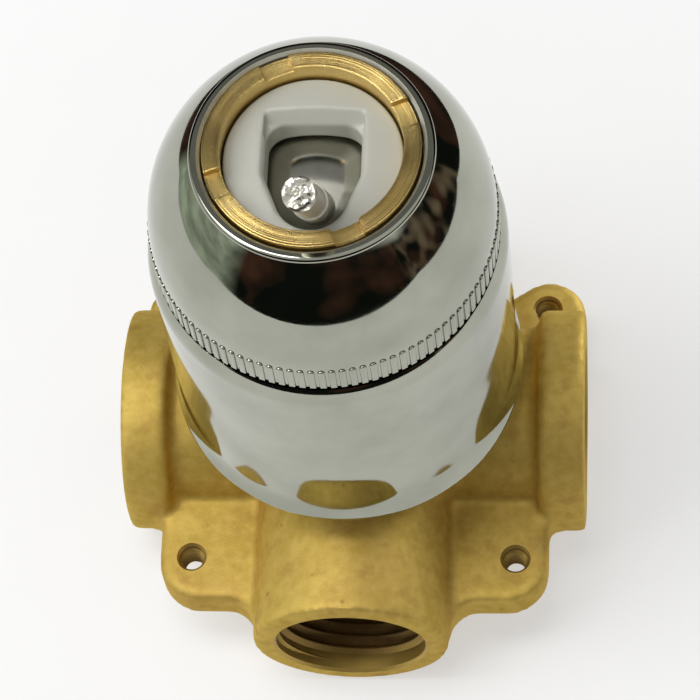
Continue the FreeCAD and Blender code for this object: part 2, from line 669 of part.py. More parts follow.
def ball_stem():
    """Stem set in the ball, with a slightly thinner spigot at its end for a handle."""
    stem = turned([
        rz(0, STEM_SOCKET_FLOOR),
        rz(STEM_R, STEM_SOCKET_FLOOR),
        rz(STEM_R, STEM_REACH - SPIGOT_LENGTH),
        rz(SPIGOT_R, STEM_REACH - SPIGOT_LENGTH),
        rz(SPIGOT_R, STEM_REACH - STEM_CHAMFER),
        rz(SPIGOT_R - STEM_CHAMFER, STEM_REACH),
        rz(0, STEM_REACH),
    ])
    stem.Placement = BALL_POSE
    return stem


def guide_pin():
    tip_y = BALL_R - PIN_REACH
    length = CHAMBER_R + PIN_SEAT - tip_y
    return Part.makeCylinder(PIN_R, length, Vector(0, tip_y, BALL_Z), Vector(0, 1, 0))


def inlet_seat(side):
    """Rubber cup seat whose tip is hollowed to the ball."""
    cup = turned([
        rz(SEAT_BORE_R, SEAT_FOOT_Z),
        rz(SEAT_R, SEAT_FOOT_Z),
        rz(SEAT_R, CHAMBER_FLOOR_Z),
        rz(SEAT_TIP_R, CHAMBER_FLOOR_Z + SEAT_TIP_RISE),
        rz(SEAT_BORE_R, CHAMBER_FLOOR_Z + SEAT_TIP_RISE),
    ])
    cup.translate(Vector(side * INLET_PASSAGE_X, 0, 0))
    return cup.cut(Part.makeSphere(BALL_R + SEAT_GAP, BALL_CENTRE))


def seat_spring(side):
    wire_r = SPRING_WIRE / 2
    coil_r = SEAT_R - SPRING_WALL_GAP - wire_r
    rise = SEAT_FOOT_Z - POCKET_FLOOR_Z - SPRING_WIRE
    path = Part.makeHelix(rise / SPRING_TURNS, rise, coil_r)
    section = Part.Wire(Part.makeCircle(wire_r, Vector(coil_r, 0, 0), Vector(0, 1, 0)))
    coil = Part.Wire(path.Edges).makePipeShell([section], True, True)
    coil.translate(Vector(side * INLET_PASSAGE_X, 0, POCKET_FLOOR_Z + wire_r))
    return coil


PIECES = {
    "valve_body": valve_body(),
    "trim_sleeve": trim_sleeve(),
    "sleeve_seal_lower": sleeve_seal(LOWER_SEAL_Z),
    "sleeve_seal_upper": sleeve_seal(UPPER_SEAL_Z),
    "bonnet_cap": bonnet_cap(),
    "adjusting_ring": adjusting_ring(),
    "cam": cam(),
    "cam_packing": cam_packing(),
    "ball": ball(),
    "ball_stem": ball_stem(),
    "guide_pin": guide_pin(),
    "hot_seat": inlet_seat(-1),
    "cold_seat": inlet_seat(1),
    "hot_seat_spring": seat_spring(-1),
    "cold_seat_spring": seat_spring(1),
}

os.makedirs("parts", exist_ok=True)
for name, shape in PIECES.items():
    shape.exportStep("parts/" + name + ".step")
    print(name, len(shape.Solids), "solid", shape.isValid(), round(shape.Volume, 1), "mm3")
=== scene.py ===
# %% [markdown]
# Tub and shower valve: the looks
#
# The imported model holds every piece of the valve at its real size. This lesson dresses it: a cast brass
# body, a chrome sleeve and cap, a turned brass ring, a white moulded cam and a steel ball with its stem.
# Each step first says what the piece is on the real valve, then makes it with a few mesh operators.

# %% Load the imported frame
import json
import math

import bmesh
import bpy
from mathutils import Matrix, Vector, noise as ripple


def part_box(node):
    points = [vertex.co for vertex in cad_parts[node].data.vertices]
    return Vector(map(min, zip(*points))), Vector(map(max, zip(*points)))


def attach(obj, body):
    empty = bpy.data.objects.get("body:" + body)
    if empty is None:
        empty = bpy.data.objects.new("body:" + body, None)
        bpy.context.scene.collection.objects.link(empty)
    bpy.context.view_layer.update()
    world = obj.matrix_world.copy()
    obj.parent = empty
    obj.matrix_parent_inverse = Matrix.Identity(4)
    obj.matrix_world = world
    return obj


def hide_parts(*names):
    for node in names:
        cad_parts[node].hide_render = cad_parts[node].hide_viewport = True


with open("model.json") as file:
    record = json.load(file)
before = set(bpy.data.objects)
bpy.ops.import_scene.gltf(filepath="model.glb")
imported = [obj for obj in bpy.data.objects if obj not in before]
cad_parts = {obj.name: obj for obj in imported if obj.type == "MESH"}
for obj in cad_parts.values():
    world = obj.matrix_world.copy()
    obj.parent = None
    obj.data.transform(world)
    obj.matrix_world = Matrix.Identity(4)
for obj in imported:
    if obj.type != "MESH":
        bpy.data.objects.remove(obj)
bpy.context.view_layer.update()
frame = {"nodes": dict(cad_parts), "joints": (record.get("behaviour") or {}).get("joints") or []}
nodes = frame["nodes"]

# %% [markdown]
# Shader maths
#
# A finish is a small network of nodes. Wiring nodes by hand is long and hard to read, so one class wraps
# a socket: sums on it add Math nodes, and its node() method adds any other kind of node, settings first.

# %% A socket that can be used in sums
class Wire:
    """An output socket in a node tree."""

    def __init__(self, tree, socket=None):
        self.tree = tree
        self.socket = socket

    def node(self, kind, settings, inputs, output=0):
        made = self.tree.nodes.new(kind)
        for key, value in settings.items():
            if key == "stops":
                self.set_stops(made.color_ramp, value)
            else:
                setattr(made, key, value)
        for key, value in inputs.items():
            if isinstance(value, Wire):
                self.tree.links.new(value.socket, made.inputs[key])
            else:
                made.inputs[key].default_value = value
        return Wire(self.tree, made.outputs[output] if made.outputs else None)

    def set_stops(self, ramp, stops):
        while len(ramp.elements) < len(stops):
            ramp.elements.new(1.0)
        for element, (position, level) in zip(ramp.elements, stops):
            element.position = position
            element.color = (level, level, level, 1.0)

    def math(self, operation, first, second):
        return self.node("ShaderNodeMath", {"operation": operation}, {0: first, 1: second})

    def __add__(self, other):
        return self.math("ADD", self, other)

    def __sub__(self, other):
        return self.math("SUBTRACT", self, other)

    def __rsub__(self, other):
        return self.math("SUBTRACT", other, self)

    def __mul__(self, other):
        return self.math("MULTIPLY", self, other)

    __radd__ = __add__
    __rmul__ = __mul__


# %% [markdown]
# Short names for nodes
#
# Every finish uses the same few nodes: noise and cells for patterns, a ramp that turns a pattern into
# levels, a mix of two colours and a bump. Each gets a short function, so a finish reads as a list of its
# patterns.

# %% Short names for the nodes that every finish uses
MIX_FACTOR, MIX_A, MIX_B, MIX_RESULT = 0, 6, 7, 2


def start_finish(name):
    """A new material with an empty tree, and the object coordinates to draw its pattern on."""
    material = bpy.data.materials.new(name)
    material.use_nodes = True
    material.node_tree.nodes.clear()
    return material, Wire(material.node_tree).node("ShaderNodeTexCoord", {}, {}, "Object")


def end_finish(place, inputs):
    surface = place.node("ShaderNodeBsdfPrincipled", {}, inputs, "BSDF")
    place.node("ShaderNodeOutputMaterial", {}, {"Surface": surface})


def noise(place, per_metre, detail):
    return place.node("ShaderNodeTexNoise", {}, {"Vector": place, "Scale": per_metre, "Detail": detail})


def cells(place, per_metre):
    return place.node("ShaderNodeTexVoronoi", {}, {"Vector": place, "Scale": per_metre}, "Distance")


def scaled(place, x, y, z):
    return place.node("ShaderNodeVectorMath", {"operation": "MULTIPLY"}, {0: place, 1: (x, y, z)})


def levels(value, *stops):
    return value.node("ShaderNodeValToRGB", {"stops": stops}, {"Fac": value})


def blend(factor, colour_a, colour_b):
    return factor.node("ShaderNodeMix", {"data_type": "RGBA"},
                       {MIX_FACTOR: factor, MIX_A: colour_a, MIX_B: colour_b}, MIX_RESULT)


def bump(height, distance):
    return height.node("ShaderNodeBump", {}, {"Distance": distance, "Height": height}, "Normal")


def rgb(red, green, blue):
    return red, green, blue, 1.0


print("shader maths ready")

# %% [markdown]
# Cast brass
#
# The body is cast and then blasted, so its skin is dull and mottled, with brownish stains, faint scuffs
# and a few pits. Noises of five sizes give cloud, mottle, stain, scuffs and grain, and a cell pattern
# gives the pits. The dull film on it scatters light, so the skin isn't wholly metallic.

# %% Cast brass
def cast_brass():
    material, place = start_finish("cast_brass")
    cloud = noise(place, 130.0, detail=5.0)
    mottle = noise(place, 650.0, detail=5.0)
    grain = noise(place, 3600.0, detail=2.0)
    stain = levels(noise(place, 60.0, detail=6.0), (0.5, 0.0), (0.72, 1.0))
    scuff = levels(noise(place, 300.0, detail=7.0), (0.56, 0.0), (0.66, 1.0))
    pits = levels(cells(place, 170.0), (0.03, 1.0), (0.07, 0.0))
    tone = blend(levels(0.5 * cloud + 0.5 * mottle, (0.38, 0.0), (0.62, 1.0)),
                 rgb(0.525, 0.377, 0.084), rgb(0.66, 0.49, 0.138))
    stained = blend(stain * 0.35 + scuff * 0.32, tone, rgb(0.40, 0.235, 0.065))
    end_finish(place, {
        "Base Color": blend(pits * 0.4, stained, rgb(0.16, 0.10, 0.03)),
        "Metallic": 0.7 + 0.2 * cloud,
        "Roughness": 0.58 + 0.16 * grain,
        "Specular Tint": rgb(0.8, 0.64, 0.36),
        "Normal": bump(grain + 0.7 * mottle - pits, 0.00003),
    })
    return material


CAST_BRASS = cast_brass()
print("finish:", CAST_BRASS.name)

# %% [markdown]
# Machined and turned brass
#
# The ports and screw holes are cut after casting. They are as bright as the skin at the ports' mouths
# and darker further in, partly brown from oil and partly painted shade of the deep bores, and the ears'
# holes are in between. The larger and the smaller of the distances from the two middle planes tell these
# places apart, made ten times as large because a ramp reads 0 to 1. The ring keeps the fine circles of
# the lathe tool, drawn by a noise of the distance from its axis.

# %% Machined and turned brass
RAMP_PER_METRE = 10.0


def along(place, axis):
    return place.node("ShaderNodeSeparateXYZ", {}, {"Vector": place}, axis)


def machined_brass():
    material, place = start_finish("machined_brass")
    marks = noise(place, 700.0, detail=3.0)
    outwards = place.node("ShaderNodeVectorMath", {"operation": "ABSOLUTE"}, {0: place})
    reach = place.math("MAXIMUM", along(outwards, "X"), along(outwards, "Y"))
    aside = place.math("MINIMUM", along(outwards, "X"), along(outwards, "Y"))
    mouths = levels(RAMP_PER_METRE * reach, (0.3, 0.0), (0.312, 0.4), (0.325, 1.0))
    bright = mouths + levels(RAMP_PER_METRE * aside, (0.13, 0.0), (0.16, 0.6))
    # Deeper in, the colour goes brown and dark: partly oil, partly painted shade of the deep bores.
    browned_and_painted_shade = blend(marks, rgb(0.14, 0.08, 0.028), rgb(0.27, 0.17, 0.055))
    end_finish(place, {
        "Base Color": blend(bright, browned_and_painted_shade, rgb(0.50, 0.345, 0.09)),
        "Metallic": 0.85,
        "Roughness": 0.4 + 0.16 * marks,
        "Normal": bump(marks, 0.00002),
    })
    return material


def turned_brass():
    material, place = start_finish("turned_brass")
    flat = scaled(place, 1.0, 1.0, 0.0)
    radius = place.node("ShaderNodeVectorMath", {"operation": "LENGTH"}, {0: flat}, "Value")
    circles = place.node("ShaderNodeTexNoise", {"noise_dimensions": "1D"},
                         {"W": radius, "Scale": 11000.0, "Detail": 2.0})
    stain = noise(place, 350.0, detail=4.0)
    end_finish(place, {
        "Base Color": blend(stain, rgb(0.62, 0.43, 0.13), rgb(0.84, 0.63, 0.26)),
        "Metallic": 1.0,
        "Roughness": 0.2 + 0.12 * stain,
        "Normal": bump(circles, 0.00012),
    })
    return material


MACHINED_BRASS = machined_brass()
TURNED_BRASS = turned_brass()
print("finishes:", MACHINED_BRASS.name, TURNED_BRASS.name)

# %% [markdown]
# Chrome plate and steel
#
# Chrome is a mirror with faint smudges and a haze where hands have touched it. The haze is put in the
# roughness, where it shows only as softer reflections. The sleeve's lower part mirrors the brass as
# small closed ovals, as a slightly belled tube does, and a bump that grows below a height bells the
# reflections alone. The steel of the ball is duller, and the stem has streaks from being drawn. Metal
# cut after the plating is left satin.

# %% Chrome plate and steel
SLEEVE_LEAN = 0.049
LEAN_BELOW = 0.052
LEAN_BLEND = 0.005
SPECK_HEIGHT = 0.000001


def chrome_plate(name, slope, below):
    """Chrome whose reflections lean outwards by a slope below a height in metres."""
    material, place = start_finish(name)
    haze = noise(place, 55.0, detail=5.0)
    smudge = levels(noise(place, 110.0, detail=7.0), (0.38, 0.0), (0.64, 1.0))
    specks = noise(place, 1500.0, detail=2.0)
    depth = place.node("ShaderNodeMath", {"operation": "SMOOTH_MAX"},
                       {0: below - along(place, "Z"), 1: 0.0, 2: LEAN_BLEND})
    end_finish(place, {
        "Base Color": blend(smudge, rgb(0.385, 0.395, 0.33), rgb(0.325, 0.335, 0.275)),
        "Metallic": 1.0,
        "Roughness": 0.03 + 0.06 * levels(haze, (0.4, 0.0), (0.75, 1.0)) + 0.02 * specks,
        "Normal": bump(slope * depth + SPECK_HEIGHT * specks, 1.0),
    })
    return material


def steel(name, roughness, dark, light, dents):
    material, place = start_finish(name)
    smear = noise(place, 420.0, detail=4.0)
    end_finish(place, {
        "Base Color": blend(smear, dark, light),
        "Metallic": 1.0,
        "Roughness": roughness + 0.12 * smear,
        "Normal": bump(smear, dents),
    })
    return material


CHROME = chrome_plate("chrome_plate", slope=0.0, below=0.0)
SLEEVE_CHROME = chrome_plate("sleeve_chrome", SLEEVE_LEAN, LEAN_BELOW)
BALL_STEEL = steel("ball_steel", 0.1, rgb(0.52, 0.51, 0.44), rgb(0.64, 0.63, 0.55), 0.000004)
STEM_STEEL = steel("stem_steel", 0.24, rgb(0.44, 0.42, 0.36), rgb(0.62, 0.60, 0.54), 0.00006)
CUT_METAL = steel("cut_metal", 0.5, rgb(0.46, 0.46, 0.41), rgb(0.60, 0.60, 0.54), 0.00002)
print("finishes:", CHROME.name, SLEEVE_CHROME.name, BALL_STEEL.name, STEM_STEEL.name, CUT_METAL.name)

# %% [markdown]
# White plastic and rubber
#
# The cam is moulded in white plastic: satin, slightly cloudy, with a few dark specks. The seals and
# seats inside are black rubber. Both get a fine bump so that their highlights break up as moulded
# surfaces do.

# %% White plastic and rubber
def white_plastic():
    material, place = start_finish("white_plastic")
    cloud = noise(place, 120.0, detail=3.0)
    specks = levels(cells(place, 230.0), (0.025, 1.0), (0.045, 0.0))
    pale = blend(cloud, rgb(0.40, 0.40, 0.35), rgb(0.47, 0.47, 0.415))
    end_finish(place, {
        "Base Color": blend(specks * 0.7, pale, rgb(0.10, 0.09, 0.08)),
        "Roughness": 0.36 + 0.12 * cloud,
        "Normal": bump(noise(place, 900.0, detail=2.0), 0.00001),
    })
    return material


def rubber():
    material, place = start_finish("rubber")
    grain = noise(place, 1800.0, detail=2.0)
    end_finish(place, {
        "Base Color": blend(grain, rgb(0.012, 0.012, 0.013), rgb(0.03, 0.03, 0.032)),
        "Roughness": 0.5 + 0.2 * grain,
        "Normal": bump(grain, 0.00002),
    })
    return material


WHITE_PLASTIC = white_plastic()
RUBBER = rubber()
print("finishes:", WHITE_PLASTIC.name, RUBBER.name)

# %% [markdown]
# From outline to object
#
# Most pieces of a valve are turned on a lathe, so they start as half an outline, given as radius and
# height in millimetres, that is spun about the valve axis. One function makes the mesh an object in
# metres, with merged seams, outward faces and smooth shading that breaks at sharp edges.

# %% Turned pieces
MM = 0.001
MERGE_MM = 0.0005
SPIN_STEPS = 192
SHARP_ANGLE = 30.0
VALVE_AXIS = Vector((0, 0, 1))


def arc(centre_r, centre_z, radius, start, end, count=8):
    """Points on an arc in an outline, between two angles in degrees."""
    points = []
    for index in range(count + 1):
        angle = math.radians(start + (end - start) * index / count)
        points.append((centre_r + radius * math.cos(angle), centre_z + radius * math.sin(angle)))
    return points


def lathe(outline, steps=SPIN_STEPS, closed=True):
    """Spin an outline of (radius, height) points about Z; an open one starts and ends on the axis."""
    bm = bmesh.new()
    row = [bm.verts.new((radius, 0, height)) for radius, height in outline]
    following = row[1:] + row[:1] if closed else row[1:]
    edges = [bm.edges.new(pair) for pair in zip(row, following)]
    bmesh.ops.spin(bm, geom=row + edges, axis=VALVE_AXIS, cent=(0, 0, 0), angle=math.tau, steps=steps,
                   use_merge=True)
    clean(bm)
    return bm


def clean(bm):
    """Merge seams, drop faces without area and turn all faces outwards."""
    bmesh.ops.remove_doubles(bm, verts=bm.verts, dist=MERGE_MM)
    bmesh.ops.dissolve_degenerate(bm, edges=bm.edges, dist=MERGE_MM / 10)
    bmesh.ops.recalc_face_normals(bm, faces=bm.faces)


def as_object(name, bm, finish):
    """Turn a bmesh in millimetres into an object in metres with one finish."""
    bmesh.ops.scale(bm, vec=(MM, MM, MM), verts=bm.verts)
    mesh = bpy.data.meshes.new(name)
    bm.to_mesh(mesh)
    bm.free()
    smooth(mesh, SHARP_ANGLE)
    mesh.materials.append(finish)
    piece = bpy.data.objects.new(name, mesh)
    bpy.context.scene.collection.objects.link(piece)
    return piece


def smooth(mesh, sharp):
    """Shade a mesh smoothly, apart from edges that bend by more than an angle in degrees."""
    mesh.polygons.foreach_set("use_smooth", [True] * len(mesh.polygons))
    mesh.set_sharp_from_angle(angle=math.radians(sharp))


def settle(piece, body, node=None):
    """Let a finished piece ride on its body and hide the node it stands for."""
    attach(piece, body)
    if node:
        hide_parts(node)
    print("piece:", piece.name, len(piece.data.polygons), "faces on", body)


print("turning tools ready")

# %% [markdown]
# Trim sleeve
#
# The sleeve is a plain chrome tube that flares at its foot and draws in at its top, to meet the cap. Its
# skin is a mirror, so it needs many even steps around, and a short straight stretch beside each bend
# keeps the wall between them truly flat in the reflections.

# %% Trim sleeve
sleeve_low, sleeve_high = (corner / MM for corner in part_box("trim_sleeve"))
FLARE = 0.7
FLARE_HEIGHT = 4.5
FOOT_EDGE = 0.25
SHOULDER = 0.9
SHOULDER_HEIGHT = 3.0
STRAIGHT = 0.3
SLEEVE_R = sleeve_high.x - FLARE
SLEEVE_WALL = 1.2


def bend(sideways, height):
    """Radius and angle in degrees of the arc that leaves a wall sideways over a height."""
    radius = (sideways ** 2 + height ** 2) / (2 * sideways)
    return radius, math.degrees(math.asin(height / radius))


def sleeve_outline():
    bore = SLEEVE_R - SLEEVE_WALL
    foot = sleeve_low.z
    top = sleeve_high.z
    flare_z = foot + FLARE_HEIGHT
    shoulder_z = top - SHOULDER_HEIGHT
    flare_r, flare_angle = bend(FLARE, FLARE_HEIGHT - FOOT_EDGE)
    shoulder_r, shoulder_angle = bend(SHOULDER, SHOULDER_HEIGHT)
    flare = arc(SLEEVE_R + flare_r, flare_z, flare_r, 180 + flare_angle, 180, count=16)
    wall = [(SLEEVE_R, flare_z + STRAIGHT), (SLEEVE_R, shoulder_z - STRAIGHT)]
    shoulder = arc(SLEEVE_R - shoulder_r, shoulder_z, shoulder_r, 0, shoulder_angle, count=12)
    return [(bore, foot), (SLEEVE_R + FLARE, foot)] + flare + wall + shoulder + [(bore, top)]


sleeve = as_object("sleeve_tube", lathe(sleeve_outline()), SLEEVE_CHROME)
settle(sleeve, "valve", "trim_sleeve")

# %% [markdown]
# Bonnet cap
#
# The cap is a chrome dome that screws over the tower. Its outline is one long shallow arc from the
# ribbed band to the mouth, with a small rounded rim there, and a stepped inside that holds the cam down.
# The mouth's bore is cut after the plating, so its faces get a satin finish of their own.

# %% Bonnet cap
cap_low, cap_high = (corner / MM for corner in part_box("bonnet_cap"))
RIB_RISE = 0.22
CAP_R = cap_high.x - RIB_RISE
CAP_WALL = 1.25
CAP_BORE_R = CAP_R - CAP_WALL
DOME_FOOT_RISE = 5.0
DOME_SAG = 1.65
MOUTH_R = 13.75
RIM_WIDTH = 1.45
RIM_ROUND = 0.6
RIM_CHAMFER = 0.4
CAM_STEP_Z = 88.95
NOSE_STEP_Z = 85.6
SHOULDER_Z = 79.7
CAM_STEP_R = 16.8
NOSE_STEP_R = 17.7


def bowed(start, end, sag, count):
    """Points on the arc between two outline points that bulges outwards by sag."""
    chord = Vector(end) - Vector(start)
    half = chord.length / 2
    radius = (half * half + sag * sag) / (2 * sag)
    outward = Vector((chord.y, -chord.x)).normalized()
    centre = (Vector(start) + Vector(end)) / 2 + outward * (sag - radius)
    first = math.degrees(math.atan2(start[1] - centre.y, start[0] - centre.x))
    last = math.degrees(math.atan2(end[1] - centre.y, end[0] - centre.x))
    return arc(centre.x, centre.y, radius, first, last, count)


def cap_outline():
    foot = cap_low.z
    mouth = cap_high.z
    rim_r = MOUTH_R + RIM_WIDTH
    rim_z = mouth - RIM_ROUND
    dome = bowed((CAP_R, foot + DOME_FOOT_RISE), (rim_r, rim_z), DOME_SAG, count=48)
    rim = arc(rim_r - RIM_ROUND, rim_z, RIM_ROUND, 0, 90)
    inside = [(MOUTH_R + RIM_CHAMFER, mouth), (MOUTH_R, mouth - RIM_CHAMFER), (MOUTH_R, CAM_STEP_Z),
              (CAM_STEP_R, CAM_STEP_Z), (CAM_STEP_R, NOSE_STEP_Z), (NOSE_STEP_R, NOSE_STEP_Z),
              (NOSE_STEP_R, SHOULDER_Z), (CAP_BORE_R, SHOULDER_Z)]
    return [(CAP_BORE_R, foot), (CAP_R, foot)] + dome + rim[1:] + inside


cap = as_object("cap_dome", lathe(cap_outline()), CHROME)
cap.data.materials.append(CUT_METAL)
for face in cap.data.polygons:
    middle = face.center / MM
    if math.hypot(middle.x, middle.y) < MOUTH_R + RIM_CHAMFER and middle.z > CAM_STEP_Z:
        face.material_index = 1
settle(cap, "valve", "bonnet_cap")

# %% [markdown]
# Ribbed band
#
# Upright ribs round the foot of the cap give a grip for unscrewing it. One rib is a flat bar whose top
# corners are bevelled into a round end, and whose face is then softened all along its border. Spin
# repeats it as copies all the way round.

# %% Ribbed band
RIB_COUNT = 106
RIB_WIDTH = 0.92
RIB_LENGTH = 4.5
RIB_END_ROUND = 0.48 * RIB_WIDTH
RIB_SOFT_EDGE = 0.17


def round_off(bm, edges, offset, segments):
    bmesh.ops.bevel(bm, geom=edges, offset=offset, segments=segments, profile=0.5, affect="EDGES",
                    material=-1)


def rib_band():
    bm = bmesh.new()
    bmesh.ops.create_cube(bm, size=1.0)
    bmesh.ops.scale(bm, vec=(2 * RIB_RISE, RIB_WIDTH, RIB_LENGTH), verts=bm.verts)
    corners = [edge for edge in bm.edges
               if edge.verts[0].co.x != edge.verts[1].co.x and edge.verts[0].co.z > 0]
    round_off(bm, corners, RIB_END_ROUND, segments=6)
    front = max(bm.faces, key=lambda face: face.calc_center_median().x)
    border = [edge for edge in front.edges
              if max(vert.co.z for vert in edge.verts) > MERGE_MM - RIB_LENGTH / 2]
    round_off(bm, border, RIB_SOFT_EDGE, segments=4)
    bmesh.ops.translate(bm, vec=(CAP_R, 0, cap_low.z + RIB_LENGTH / 2), verts=bm.verts)
    clean(bm)
    bmesh.ops.spin(bm, geom=bm.verts[:] + bm.edges[:] + bm.faces[:], axis=VALVE_AXIS, cent=(0, 0, 0),
                   angle=math.tau * (RIB_COUNT - 1) / RIB_COUNT, steps=RIB_COUNT - 1, use_duplicate=True)
    return bm


ribs = as_object("cap_ribs", rib_band(), CHROME)
settle(ribs, "valve")

# %% [markdown]
# Adjusting ring
#
# A brass ring with four notches for a spanner presses on the cam. It is turned first, and the notches
# are milled out of its top, so it is spun and then cut with one box per notch.

# %% Adjusting ring
ring_low, ring_high = (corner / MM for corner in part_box("adjusting_ring"))
RING_INNER_R = 11.3
RING_CHAMFER = 0.15
NOTCH_COUNT = 4
NOTCH_WIDTH = 3.8
NOTCH_DEPTH = 0.9
NOTCH_FIRST_ANGLE = 23.0
BURR = 0.08
BURR_SHARP_ANGLE = 25.0


def applied(piece):
    """Bake a piece's modifiers into its own mesh."""
    graph = bpy.context.evaluated_depsgraph_get()
    baked = bpy.data.meshes.new_from_object(piece.evaluated_get(graph))
    piece.modifiers.clear()
    old = piece.data
    piece.data = baked
    bpy.data.meshes.remove(old)


def cut(piece, cutters):
    """Cut other objects out of a piece, keeping their finish on the new faces, and remove them."""
    for cutter in cutters:
        tool = piece.modifiers.new("cut", "BOOLEAN")
        tool.operation = "DIFFERENCE"
        tool.object = cutter
        tool.solver = "EXACT"
        tool.material_mode = "TRANSFER"
    applied(piece)
    for cutter in cutters:
        mesh = cutter.data
        bpy.data.objects.remove(cutter)
        bpy.data.meshes.remove(mesh)


def ring_outline():
    outer = ring_high.x
    return [(RING_INNER_R, ring_low.z), (outer, ring_low.z), (outer, ring_high.z - RING_CHAMFER),
            (outer - RING_CHAMFER, ring_high.z), (RING_INNER_R, ring_high.z)]


def notch_cutter(index):
    bm = bmesh.new()
    made = bmesh.ops.create_cube(bm, size=1.0)
    bmesh.ops.scale(bm, vec=(ring_high.x, NOTCH_WIDTH, 2 * NOTCH_DEPTH), verts=made["verts"])
    bmesh.ops.translate(bm, vec=(ring_high.x, 0, ring_high.z), verts=made["verts"])
    turn = Matrix.Rotation(math.radians(NOTCH_FIRST_ANGLE + index * 360 / NOTCH_COUNT), 3, "Z")
    bmesh.ops.rotate(bm, cent=(0, 0, 0), matrix=turn, verts=made["verts"])
    return as_object("notch_cutter", bm, TURNED_BRASS)


ring = as_object("notched_ring", lathe(ring_outline()), TURNED_BRASS)
cut(ring, [notch_cutter(index) for index in range(NOTCH_COUNT)])
softener = ring.modifiers.new("burr", "BEVEL")
softener.width = BURR * MM
softener.segments = 2
softener.limit_method = "ANGLE"
applied(ring)
smooth(ring.data, BURR_SHARP_ANGLE)
settle(ring, "ring", "adjusting_ring")

# %% [markdown]
# Cam
#
# The cam is a moulded disc with a shield-shaped opening whose lip falls away softly. Mouldings have no
# sharp edges, so the solid is wrapped in a fine even grid of faces and relaxed, which rounds every edge
# by the same small amount.

# %% Cam
RELAX_SHARE = 0.5
NEVER_SHARP = 180.0
CAM_GRID = 0.2
CAM_ROUNDS = 16


def softened(name, node, finish, grid, rounds, plugs=None):
    """A copy of a node with its edges relaxed, after plugs are added where holes are cut later."""
    bm = bmesh.new()
    bm.from_mesh(nodes[node].data)
    bmesh.ops.remove_doubles(bm, verts=bm.verts, dist=MERGE_MM * MM)
    bmesh.ops.scale(bm, vec=(1 / MM, 1 / MM, 1 / MM), verts=bm.verts)
    piece = as_object(name, bm, finish)
    if plugs:
        with bpy.context.temp_override(active_object=piece, selected_editable_objects=[piece] + plugs):
            bpy.ops.object.join()
    wrap = piece.modifiers.new("wrap", "REMESH")
    wrap.mode = "VOXEL"
    wrap.voxel_size = grid * MM
    relax = piece.modifiers.new("relax", "SMOOTH")
    relax.factor = RELAX_SHARE
    relax.iterations = rounds
    applied(piece)
    smooth(piece.data, NEVER_SHARP)
    return piece


cam = softened("cam_disc", "cam", WHITE_PLASTIC, CAM_GRID, CAM_ROUNDS)
settle(cam, "valve", "cam")

# %% [markdown]
# Ball
#
# A polished steel ball mixes the water, and its stem carries the handle. Both lean as the lever rests,
# so they are made upright about the ball's centre and then turned by the rest angles. The ball has a
# slot for its guide pin and three ports, cut out of a turned globe.

# %% Ball
BALL_R = 11.0
BALL_Z = frame["joints"][0]["pos_m"][2] / MM
REST_TILT = 24.7
REST_SWING = 2.0
OPEN_TILT = -5.5
BALL_PORT_R = 2.0
BALL_PORT_MIDDLE = 0.8 * BALL_R
SEAT_X = 7.0
SLOT_HALF_WIDTH = 1.62
SLOT_FLOOR_R = 8.5
SLOT_OUTER_R = BALL_R + 2.0
tilt = Matrix.Rotation(math.radians(REST_SWING), 4, "Y") @ Matrix.Rotation(math.radians(REST_TILT), 4, "X")
rest_pose = Matrix.Translation((0, 0, BALL_Z)) @ tilt


def port_cutter(direction):
    bm = bmesh.new()
    bmesh.ops.create_cone(bm, cap_ends=True, segments=48, radius1=BALL_PORT_R, radius2=BALL_PORT_R,
                          depth=BALL_R)
    bmesh.ops.translate(bm, vec=(0, 0, BALL_PORT_MIDDLE), verts=bm.verts)
    turn = VALVE_AXIS.rotation_difference(direction).to_matrix().to_4x4()
    bmesh.ops.transform(bm, matrix=rest_pose @ turn, verts=bm.verts)
    return as_object("port_cutter", bm, BALL_STEEL)


def slot_cutter():
    """A ring sector about X that the guide pin slides along."""
    bm = bmesh.new()
    section = [(-SLOT_HALF_WIDTH, SLOT_FLOOR_R), (SLOT_HALF_WIDTH, SLOT_FLOOR_R),
               (SLOT_HALF_WIDTH, SLOT_OUTER_R), (-SLOT_HALF_WIDTH, SLOT_OUTER_R)]
    face = bm.faces.new([bm.verts.new((across, out, 0)) for across, out in section])
    end_angle = math.asin(SLOT_HALF_WIDTH / SLOT_FLOOR_R)
    start = Matrix.Rotation(-math.radians(REST_TILT) - end_angle, 3, "X")
    bmesh.ops.rotate(bm, cent=(0, 0, 0), matrix=start, verts=bm.verts)
    sweep = math.radians(REST_TILT - OPEN_TILT) + 2 * end_angle
    bmesh.ops.spin(bm, geom=[face], axis=(1, 0, 0), cent=(0, 0, 0), angle=sweep, steps=24)
    bmesh.ops.recalc_face_normals(bm, faces=bm.faces)
    bmesh.ops.transform(bm, matrix=rest_pose, verts=bm.verts)
    return as_object("slot_cutter", bm, BALL_STEEL)


lean = math.asin(SEAT_X / BALL_R)
opened = Matrix.Rotation(math.radians(-OPEN_TILT), 3, "X")
shut = Matrix.Rotation(math.radians(2 * REST_TILT), 3, "X")
port_ways = [opened @ Vector((side * math.sin(lean), 0, -math.cos(lean))) for side in (-1, 1)]
port_ways.append(shut @ Vector((0, 0, -1)))
globe = lathe(arc(0, 0, BALL_R, -90, 90, count=72), closed=False)
bmesh.ops.transform(globe, matrix=rest_pose, verts=globe.verts)
ball = as_object("lever_ball", globe, BALL_STEEL)
cut(ball, [port_cutter(way) for way in port_ways] + [slot_cutter()])
smooth(ball.data, SHARP_ANGLE)
settle(ball, "lever", "ball")

# %% [markdown]
# Stem
#
# The stem is a rod with a thinner spigot for the handle. Its end is roughly cut off, so its face is
# uneven: each point sinks by a folded noise, which leaves shallow dents with crisp creases between them.

